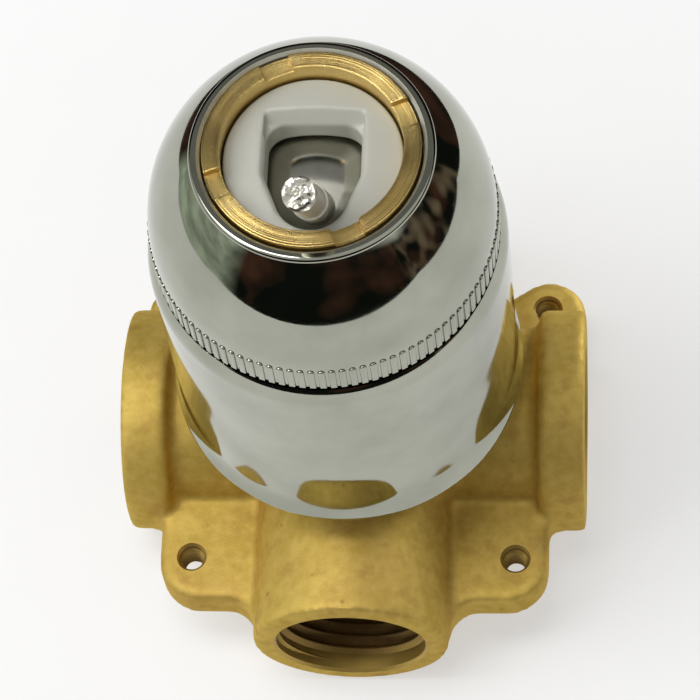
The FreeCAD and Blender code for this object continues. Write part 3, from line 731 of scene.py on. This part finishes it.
# %% Stem with its sawn end
STEM_R = 2.25
SPIGOT_R = 2.05
STEM_FLOOR = 7.0
STEM_REACH = 44.0
SPIGOT_LENGTH = 18.0
STEM_CHAMFER = 0.25
SAWN_RINGS = 14
SAWN_DEPTH = 0.32
SAWN_PER_MM = 0.9
SAWN_OCTAVES = 3


def stem_outline():
    shoulder = STEM_REACH - SPIGOT_LENGTH
    flat_r = SPIGOT_R - STEM_CHAMFER
    face = [(flat_r * (SAWN_RINGS - index) / SAWN_RINGS, STEM_REACH) for index in range(SAWN_RINGS + 1)]
    return [(0, STEM_FLOOR), (STEM_R, STEM_FLOOR), (STEM_R, shoulder), (SPIGOT_R, shoulder),
            (SPIGOT_R, STEM_REACH - STEM_CHAMFER)] + face


rod = lathe(stem_outline(), steps=64, closed=False)
for vert in rod.verts:
    if vert.co.z > STEM_REACH - MERGE_MM:
        crease = ripple.turbulence(vert.co * SAWN_PER_MM, SAWN_OCTAVES, True)
        vert.co.z -= SAWN_DEPTH * min(crease, 1.0)
bmesh.ops.transform(rod, matrix=rest_pose, verts=rod.verts)
stem = as_object("lever_stem", rod, STEM_STEEL)
settle(stem, "lever", "ball_stem")

# %% [markdown]
# Cast body
#
# The body is one casting, and where its branches meet the metal runs together in small hollows. The
# solid has sharp joins there, so its holes are plugged, the whole is wrapped in an even grid and relaxed
# a little, and the machined holes are then cut again so that they stay crisp.

# %% Cast body
PORT_AXIS_Z = 13.7
PORT_MOUTH_R = 10.7
PORT_BORE_R = 10.3
PORT_CORE_R = 9.8
PORT_THREAD_DEPTH = 11.2
PORT_CORE_DEPTH = 3.8
ELBOW_R = 4.2
INLET_PASSAGE = 7.0
OUTLET_PASSAGE = 8.0
PORT_PLUG_R = PORT_MOUTH_R + 0.4
PORT_PLUG_DEPTH = PORT_THREAD_DEPTH + PORT_CORE_DEPTH + 1.0
EAR_HOLE_R = 1.75
EAR_HOLE_LEAD = 0.35
EAR_THICKNESS = 5.8
HOLE_PLUG_R = EAR_HOLE_R + 1.0
HOLE_OVERCUT = 2.0
EAR_HOLES = [(-22.5, -21.7, 15.5), (22.5, -21.7, 15.5), (-26.3, 19.1, 10.2), (26.3, 19.1, 10.2)]
CASTING_GRID = 0.6
CASTING_ROUNDS = 3
CASTING_SHARP_ANGLE = 35.0
body_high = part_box("valve_body")[1] / MM
ports = {"hot": (180, body_high.x, INLET_PASSAGE), "cold": (0, body_high.x, INLET_PASSAGE),
         "tub": (-90, body_high.y, OUTLET_PASSAGE), "shower": (90, body_high.y, OUTLET_PASSAGE)}


def laid(bm, direction):
    """Tip a piece made about Z level with the ports, pointing in a direction in degrees."""
    turn = Matrix.Rotation(math.radians(direction), 4, "Z") @ Matrix.Rotation(math.radians(90), 4, "Y")
    bmesh.ops.transform(bm, matrix=Matrix.Translation((0, 0, PORT_AXIS_Z)) @ turn, verts=bm.verts)
    return bm


def port_plug(direction, face):
    foot = face - PORT_PLUG_DEPTH
    outline = [(0, foot), (PORT_PLUG_R, foot), (PORT_PLUG_R, face), (0, face)]
    return as_object("port_plug", laid(lathe(outline, steps=96, closed=False), direction), CAST_BRASS)


def port_cutter_at(direction, face, passage):
    """The room in a port: thread, core and the passage that starts at a distance from the valve axis."""
    thread_end = face - PORT_THREAD_DEPTH
    floor = thread_end - PORT_CORE_DEPTH
    lead = PORT_MOUTH_R - PORT_BORE_R
    outline = [(0, passage), (ELBOW_R, passage), (ELBOW_R, floor - (PORT_CORE_R - ELBOW_R) / 2),
               (PORT_CORE_R, floor), (PORT_CORE_R, thread_end), (PORT_BORE_R, thread_end),
               (PORT_BORE_R, face - lead), (PORT_MOUTH_R + lead, face + lead), (0, face + lead)]
    plug = lathe(outline, steps=128, closed=False)
    return as_object("port_cutter", laid(plug, direction), MACHINED_BRASS)


def at_hole(bm, x, y):
    bmesh.ops.translate(bm, vec=(x, y, 0), verts=bm.verts)
    return bm


def hole_plug(x, y, top):
    foot = top - EAR_THICKNESS
    outline = [(0, foot), (HOLE_PLUG_R, foot), (HOLE_PLUG_R, top), (0, top)]
    return as_object("hole_plug", at_hole(lathe(outline, steps=48, closed=False), x, y), CAST_BRASS)


def hole_cutter(x, y, top):
    foot = top - EAR_THICKNESS - HOLE_OVERCUT
    outline = [(0, foot), (EAR_HOLE_R, foot), (EAR_HOLE_R, top - EAR_HOLE_LEAD),
               (EAR_HOLE_R + 2 * EAR_HOLE_LEAD, top + EAR_HOLE_LEAD), (0, top + EAR_HOLE_LEAD)]
    return as_object("hole_cutter", at_hole(lathe(outline, steps=64, closed=False), x, y), MACHINED_BRASS)


plugs = [port_plug(*port[:2]) for port in ports.values()] + [hole_plug(*hole) for hole in EAR_HOLES]
casting = softened("brass_casting", "valve_body", CAST_BRASS, CASTING_GRID, CASTING_ROUNDS, plugs)
cutters = [port_cutter_at(*port) for port in ports.values()] + [hole_cutter(*hole) for hole in EAR_HOLES]
cut(casting, cutters)
smooth(casting.data, CASTING_SHARP_ANGLE)
settle(casting, "valve", "valve_body")

# %% [markdown]
# Threads
#
# Each port has a pipe thread and each ear hole a fine screw thread: a ridge that winds round the bore. A
# small outline spun several times round while it moves along the axis makes the whole ridge in one step,
# and its crest is then sunk over the last half turn, as a cut thread runs out.

# %% Threads
PIPE_PITCH = 1.8
PIPE_HEIGHT = 0.85
PIPE_INSET = 2.2
SCREW_PITCH = 0.8
SCREW_HEIGHT = 0.5
SCREW_INSET = 1.6 * SCREW_PITCH
ROOT_SINK = 0.15
CREST_FROM = 0.42
CREST_TO = 0.5
RIDGE_TO = 0.92
RUN_OUT_TURNS = 0.5
LEAST_TURNS = 0.02


def thread(bore_r, pitch, height, start, length, steps):
    """A ridge round a bore along Z, from start over a length; its outline is given in shares of the pitch."""
    turns = length / pitch
    root = bore_r + ROOT_SINK
    crest = root - height
    bm = bmesh.new()
    section = [(root, start), (crest, start + pitch * CREST_FROM), (crest, start + pitch * CREST_TO),
               (root, start + pitch * RIDGE_TO)]
    ridge = bm.faces.new([bm.verts.new((radius, 0, z)) for radius, z in section])
    count = round(steps * turns)
    bmesh.ops.spin(bm, geom=[ridge], axis=VALVE_AXIS, cent=(0, 0, 0), dvec=(0, 0, length / count),
                   angle=math.tau * turns, steps=count)
    for vert in bm.verts:
        radius = math.hypot(vert.co.x, vert.co.y)
        turns_left = (start + length + pitch * RIDGE_TO / 2 - vert.co.z) / pitch
        if radius < root - height / 2 and turns_left < RUN_OUT_TURNS:
            sunk = (root - height * max(turns_left, LEAST_TURNS) / RUN_OUT_TURNS) / radius
            bmesh.ops.scale(bm, vec=(sunk, sunk, 1), verts=[vert])
    bmesh.ops.recalc_face_normals(bm, faces=bm.faces)
    return bm


for name, port in ports.items():
    direction, face = port[:2]
    ridge = thread(PORT_BORE_R, PIPE_PITCH, PIPE_HEIGHT, face - PORT_THREAD_DEPTH,
                   PORT_THREAD_DEPTH - PIPE_INSET, steps=48)
    settle(as_object(name + "_thread", laid(ridge, direction), MACHINED_BRASS), "valve")
for index, (x, y, top) in enumerate(EAR_HOLES):
    ridge = thread(EAR_HOLE_R, SCREW_PITCH, SCREW_HEIGHT, top - EAR_THICKNESS,
                   EAR_THICKNESS - SCREW_INSET, steps=24)
    screw = as_object("screw_thread_%d" % index, at_hole(ridge, x, y), MACHINED_BRASS)
    settle(screw, "valve")

# %% [markdown]
# Pieces kept from the solids
#
# Seals, packing, seats, springs and the guide pin are hidden inside, and their solids already have the
# right form. They only get a finish.

# %% Pieces kept from the solids
KEPT = {"sleeve_seal_lower": RUBBER, "sleeve_seal_upper": RUBBER, "cam_packing": RUBBER,
        "hot_seat": RUBBER, "cold_seat": RUBBER,
        "hot_seat_spring": STEM_STEEL, "cold_seat_spring": STEM_STEEL, "guide_pin": STEM_STEEL}
for name, finish in KEPT.items():
    nodes[name].data.materials.clear()
    nodes[name].data.materials.append(finish)
print("kept:", len(KEPT), "solids with a finish")

# %% [markdown]
# Floor
#
# The valve lies on a pale table that looks white. Its own paper white is mixed with an even glow for the
# camera and for reflections, so it is white towards the edges of the picture. The glow is weaker round
# the valve, where its soft shadow falls.

# %% Floor
FLOOR_SIZE = 4.0
GLOW_NEAR = 0.5
GLOW_FAR = 0.94
NEAR_UP_TO = 0.05
FAR_FROM = 0.16


def seen_directly(wire):
    """1 for rays from the camera, from a mirror or through glass, and 0 for light that falls on things."""
    direct = wire.node("ShaderNodeLightPath", {}, {}, "Is Camera Ray")
    mirrored = wire.node("ShaderNodeLightPath", {}, {}, "Is Glossy Ray")
    through = wire.node("ShaderNodeLightPath", {}, {}, "Is Transmission Ray")
    return direct + mirrored + through


def pale_floor():
    material, place = start_finish("pale_floor")
    paper = noise(place, 90.0, detail=3.0)
    surface = place.node("ShaderNodeBsdfPrincipled", {}, {
        "Base Color": blend(paper, rgb(0.86, 0.86, 0.86), rgb(0.9, 0.9, 0.9)), "Roughness": 0.7,
        "Normal": bump(paper, 0.00002)}, "BSDF")
    away = place.node("ShaderNodeVectorMath", {"operation": "LENGTH"}, {0: place}, "Value")
    share = levels(away, (NEAR_UP_TO, GLOW_NEAR), (FAR_FROM, GLOW_FAR))
    glow = place.node("ShaderNodeEmission", {}, {"Color": rgb(1.0, 1.0, 1.0), "Strength": 1.0})
    mixed = place.node("ShaderNodeMixShader", {}, {0: share * seen_directly(place), 1: surface, 2: glow})
    place.node("ShaderNodeOutputMaterial", {}, {"Surface": mixed})
    return material


bm = bmesh.new()
bmesh.ops.create_grid(bm, x_segments=2, y_segments=2, size=FLOOR_SIZE / 2 / MM)
floor = as_object("floor", bm, pale_floor())

# %% [markdown]
# Reflection screens
#
# Chrome looks like chrome only when it has something dark to reflect. A photographer stands dark screens
# round the table, just out of the picture. Here they are one open box that only reflections see: dark
# with brownish patches up to a line and pale above it, except behind. A grey-green screen stands on the
# left, where more light comes from, and a patchy one on the right. A ramp reads 0 to 1, so places are
# shifted by half a metre before it.

# %% Reflection screens
SCREEN_LOW = (-480.0, -300.0, 0.0)
SCREEN_HIGH = (480.0, 170.0, 700.0)
DARK_UP_TO = 0.26
RAMP_SHIFT = 0.5


def screen_cloth():
    material, place = start_finish("screen_cloth")
    from_left = along(place, "X") + RAMP_SHIFT
    patches = levels(noise(place, 5.0, detail=2.0), (0.5, 0.0), (0.72, 1.0))
    folds = levels(noise(scaled(place, 1.0, 1.0, 2.5), 8.0, detail=2.0), (0.3, 0.45), (0.65, 1.0))
    hung = levels(noise(scaled(place, 1.0, 1.0, 0.6), 13.0, detail=1.0), (0.45, 0.0), (0.7, 1.0))
    dark = blend(patches, rgb(0.008, 0.010, 0.008), rgb(0.10, 0.045, 0.03))
    left = levels(from_left, (0.02, 1.0), (0.2, 0.0))
    right = levels(from_left, (0.85, 0.0), (0.97, 1.0))
    low = blend(right * hung, blend(left * folds, dark, rgb(0.62, 0.70, 0.58)), rgb(0.24, 0.18, 0.125))
    pale = blend(levels(from_left, (0.1, 1.0), (0.8, 0.0)), rgb(0.72, 0.72, 0.7), rgb(0.66, 0.66, 0.64))
    behind = levels(along(place, "Y") + RAMP_SHIFT, (0.62, 0.0), (0.66, 0.7))
    sky = blend(behind, pale, rgb(0.03, 0.03, 0.03))
    high = levels(along(place, "Z"), (DARK_UP_TO, 0.0), (DARK_UP_TO + 0.05, 1.0))
    glow = place.node("ShaderNodeEmission", {}, {"Color": blend(high, low, sky), "Strength": 1.0})
    place.node("ShaderNodeOutputMaterial", {}, {"Surface": glow})
    return material


bm = bmesh.new()
bmesh.ops.create_cube(bm, size=1.0)
screen_size = Vector(SCREEN_HIGH) - Vector(SCREEN_LOW)
bmesh.ops.scale(bm, vec=screen_size, verts=bm.verts)
bmesh.ops.translate(bm, vec=(Vector(SCREEN_HIGH) + Vector(SCREEN_LOW)) / 2, verts=bm.verts)
bmesh.ops.delete(bm, geom=[face for face in bm.faces if face.normal.z < -0.5], context="FACES")
screens = as_object("screens", bm, screen_cloth())
for ray in ("camera", "diffuse", "transmission", "volume_scatter", "shadow"):
    setattr(screens, "visible_" + ray, False)
print("floor and screens are set up")

# %% [markdown]
# Light
#
# A large soft lamp at the upper left stands for the window, a weak long panel hangs over the table, and
# an even pale surrounding fills the shadows. The panel draws the bright streaks across the turned ring.
# A small weak lamp stands low behind the valve for the back lug that the sleeve would shade. It is
# linked to the casting alone, so the chrome doesn't mirror it.

# %% Surroundings and lamps
AMBIENT = 0.36
LAMP_AIM = Vector((0, 0, 0.04))

world = bpy.data.worlds.new("studio")
world.use_nodes = True
world.node_tree.nodes.clear()
sky = Wire(world.node_tree)
shown = sky.node("ShaderNodeBackground", {}, {"Color": rgb(1.0, 1.0, 1.0), "Strength": 1.0})
ambient = sky.node("ShaderNodeBackground", {}, {"Color": rgb(1.0, 1.0, 0.98), "Strength": AMBIENT})
mixed = sky.node("ShaderNodeMixShader", {}, {0: seen_directly(sky), 1: ambient, 2: shown})
sky.node("ShaderNodeOutputWorld", {}, {"Surface": mixed})
bpy.context.scene.world = world


def add_lamp(name, shape, size, watts, place):
    light = bpy.data.lights.new(name, "AREA")
    light.shape = shape
    light.size, light.size_y = size
    light.energy = watts
    lamp = bpy.data.objects.new(name, light)
    lamp.location = place
    lamp.visible_camera = False
    lamp.rotation_euler = (LAMP_AIM - Vector(place)).to_track_quat("-Z", "Y").to_euler()
    bpy.context.scene.collection.objects.link(lamp)
    print("lamp:", name, watts, "W")
    return lamp


add_lamp("window", "DISK", size=(0.5, 0.5), watts=2.15, place=(-0.46, -0.1, 0.55))
add_lamp("panel", "RECTANGLE", size=(0.2, 0.4), watts=1.8, place=(-0.13, 0.0, 0.69))
behind = add_lamp("behind", "DISK", size=(0.05, 0.05), watts=0.13, place=(0.13, 0.12, 0.066))
lit = bpy.data.collections.new("lit_from_behind")
lit.objects.link(casting)
behind.light_linking.receiver_collection = lit

# %% [markdown]
# Camera
#
# The camera stands high in front of the tub outlet, a little to the cold side, and is tipped about its
# line of sight. Its angles, distance and focal length bring the valve's round edges onto the same
# ellipses as in the picture.

# %% Camera
CAMERA_TURN = 11.18
CAMERA_HEIGHT_ANGLE = 64.49
CAMERA_ROLL = -10.02
CAMERA_DISTANCE = 0.4799
CAMERA_TARGET = Vector((1.41, -5.14, 48.0)) * MM
FOCAL_LENGTH = 186.5
NEAR_CLIP = 0.01

turn = math.radians(CAMERA_TURN)
rise = math.radians(CAMERA_HEIGHT_ANGLE)
back = Vector((math.sin(turn) * math.cos(rise), -math.cos(turn) * math.cos(rise), math.sin(rise)))
right = Vector((math.cos(turn), math.sin(turn), 0))
level = Matrix((right, back.cross(right), back)).transposed().to_4x4()
lens = bpy.data.cameras.new("camera")
lens.sensor_fit = "HORIZONTAL"
lens.lens = FOCAL_LENGTH
lens.clip_start = NEAR_CLIP
camera = bpy.data.objects.new("camera", lens)
camera.matrix_world = (Matrix.Translation(CAMERA_TARGET + back * CAMERA_DISTANCE) @ level
                       @ Matrix.Rotation(math.radians(CAMERA_ROLL), 4, "Z"))
bpy.context.scene.collection.objects.link(camera)
bpy.context.scene.camera = camera
bpy.context.scene.view_settings.view_transform = "Standard"
print("camera at", [round(value, 4) for value in camera.matrix_world.translation])
